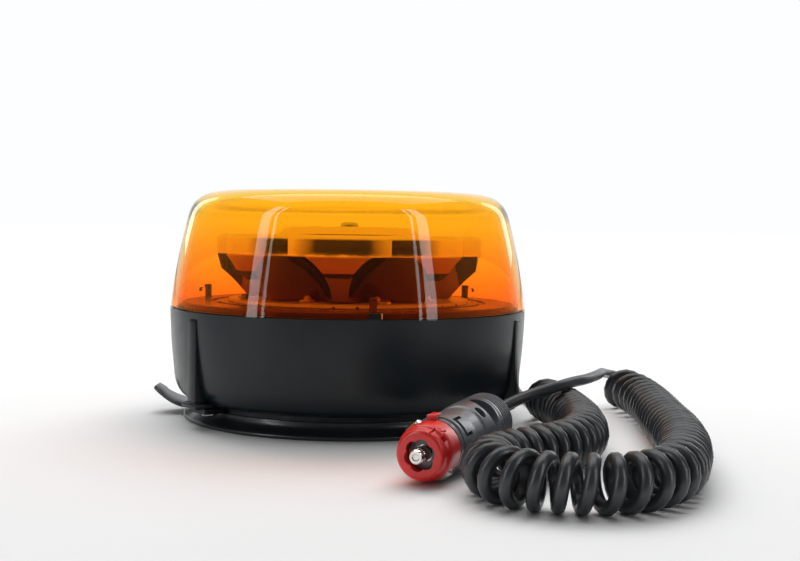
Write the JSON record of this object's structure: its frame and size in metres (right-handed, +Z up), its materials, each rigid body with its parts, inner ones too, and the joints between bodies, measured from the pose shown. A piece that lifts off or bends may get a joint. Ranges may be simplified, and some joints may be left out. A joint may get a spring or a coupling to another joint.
{
  "type": "led safety flare",
  "caption": "Low amber flashing safety beacon: mirrored LED reflector under a clear dome, magnetic suction base, long curly supply cord and a vehicle accessory socket plug",
  "frame": {"origin": "On the beacon's axis in the plane of the flat ground face under the suction pad, so z = 0 is the ground", "axes": "+Z is up along the beacon's axis; the plug and most of the curly cord lie on the -Y side, and the cord lies along the +X side of the beacon"},
  "size_m": [0.2383, 0.2918, 0.1054],
  "materials": {
    "amber_polycarbonate": "clear amber moulded polycarbonate, polished",
    "black_housing": "satin slate-black moulded plastic",
    "deck_plastic": "satin black moulded plastic",
    "latch_plastic": "satin black moulded plastic",
    "pad_rubber": "smooth glossy black rubber",
    "seal_rubber": "matt black rubber",
    "ferrite": "sintered dark grey ferrite",
    "steel": "zinc plated pressed steel",
    "screw_steel": "zinc plated steel",
    "white_laminate": "white solder mask",
    "green_laminate": "green solder mask",
    "green_plastic": "moulded plastic",
    "white_plastic": "moulded plastic",
    "capacitor_sleeve": "shrink sleeve",
    "copper_winding": "enamelled copper wire",
    "led_phosphor": "cast yellow phosphor under a clear lens",
    "wire_insulation": "extruded insulation",
    "chrome_reflector": "vacuum metallised mirror",
    "red_collar": "satin red moulded plastic",
    "plug_plastic": "satin black moulded plastic",
    "nickel_contact": "nickel plated spring brass",
    "fuse_glass": "clear glass tube",
    "cord_polyurethane": "glossy black polyurethane jacket"
  },
  "bodies": {
    "beacon": {"suction_pad": "pad_rubber", "magnet_ring": "ferrite", "pole_core": "steel", "carrier_plate": "steel", "base_housing": "black_housing", "leg_screw_1": "screw_steel", "leg_screw_2": "screw_steel", "leg_screw_3": "screw_steel", "cable_gland": "cord_polyurethane", "gland_nut": "black_housing", "driver_board": "green_laminate", "driver_screw_1": "screw_steel", "driver_screw_2": "screw_steel", "driver_screw_3": "screw_steel", "terminal_block": "green_plastic", "capacitor_1": "capacitor_sleeve", "capacitor_2": "capacitor_sleeve", "inductor": "copper_winding", "deck": "deck_plastic", "deck_seal": "seal_rubber", "led_board": "white_laminate", "board_screw_1": "screw_steel", "board_screw_2": "screw_steel", "board_screw_3": "screw_steel", "board_screw_4": "screw_steel", "led_1": "led_phosphor", "led_2": "led_phosphor", "led_3": "led_phosphor", "led_4": "led_phosphor", "led_5": "led_phosphor", "led_6": "led_phosphor", "led_7": "led_phosphor", "led_8": "led_phosphor", "board_connector": "white_plastic", "led_wire": "wire_insulation", "reflector": "chrome_reflector", "reflector_cap": "chrome_reflector", "cap_bolt": "screw_steel", "cap_nut": "screw_steel", "plug_body": "plug_plastic", "plug_cap": "plug_plastic", "tip_spring": "screw_steel", "cord_tail": "cord_polyurethane", "cord_coil": "cord_polyurethane", "cord_lead": "cord_polyurethane"},
    "dome": {"dome_lens": "amber_polycarbonate"},
    "latch": {"dome_latch": "latch_plastic"},
    "tab": {"release_tab": "pad_rubber"},
    "adapter": {"adapter_sleeve": "red_collar"},
    "contact_a": {"contact_left": "nickel_contact"},
    "contact_b": {"contact_right": "nickel_contact"},
    "tip": {"tip_contact": "nickel_contact", "plug_fuse": "fuse_glass"}
  },
  "joints": [
    {"name": "dome_lift", "type": "slide", "parent": "beacon", "child": "dome", "axis": [0, 0, 1], "range_m": [0, 0.045]},
    {"name": "latch_press", "type": "slide", "parent": "beacon", "child": "latch", "axis": [-0.1736, 0.9848, 0], "range_m": [0, 0.002], "stiffness_N_per_m": 15, "springref_m": -0.001},
    {"name": "tab_flex", "type": "hinge", "parent": "beacon", "child": "tab", "pos_m": [-0.072, 0, 0.003], "axis": [0, 1, 0], "range_deg": [-14, 12], "stiffness_Nm_per_rad": 0.01},
    {"name": "adapter_turn", "type": "hinge", "parent": "beacon", "child": "adapter", "pos_m": [0.0314, -0.161, 0.0109], "axis": [-0.3746, -0.927, -0.0191], "range_deg": [0, 30]},
    {"name": "contact_left_press", "type": "slide", "parent": "adapter", "child": "contact_a", "axis": [0.5637, -0.2113, -0.7985], "range_m": [0, 0.0014], "stiffness_N_per_m": 30, "springref_m": -0.001},
    {"name": "contact_right_press", "type": "slide", "parent": "adapter", "child": "contact_b", "axis": [-0.5637, 0.2113, 0.7985], "range_m": [0, 0.0014], "stiffness_N_per_m": 30, "springref_m": -0.001},
    {"name": "tip_press", "type": "slide", "parent": "beacon", "child": "tip", "axis": [0.3746, 0.927, 0.0191], "range_m": [0, 0.002], "stiffness_N_per_m": 150, "springref_m": -0.001}
  ]
}
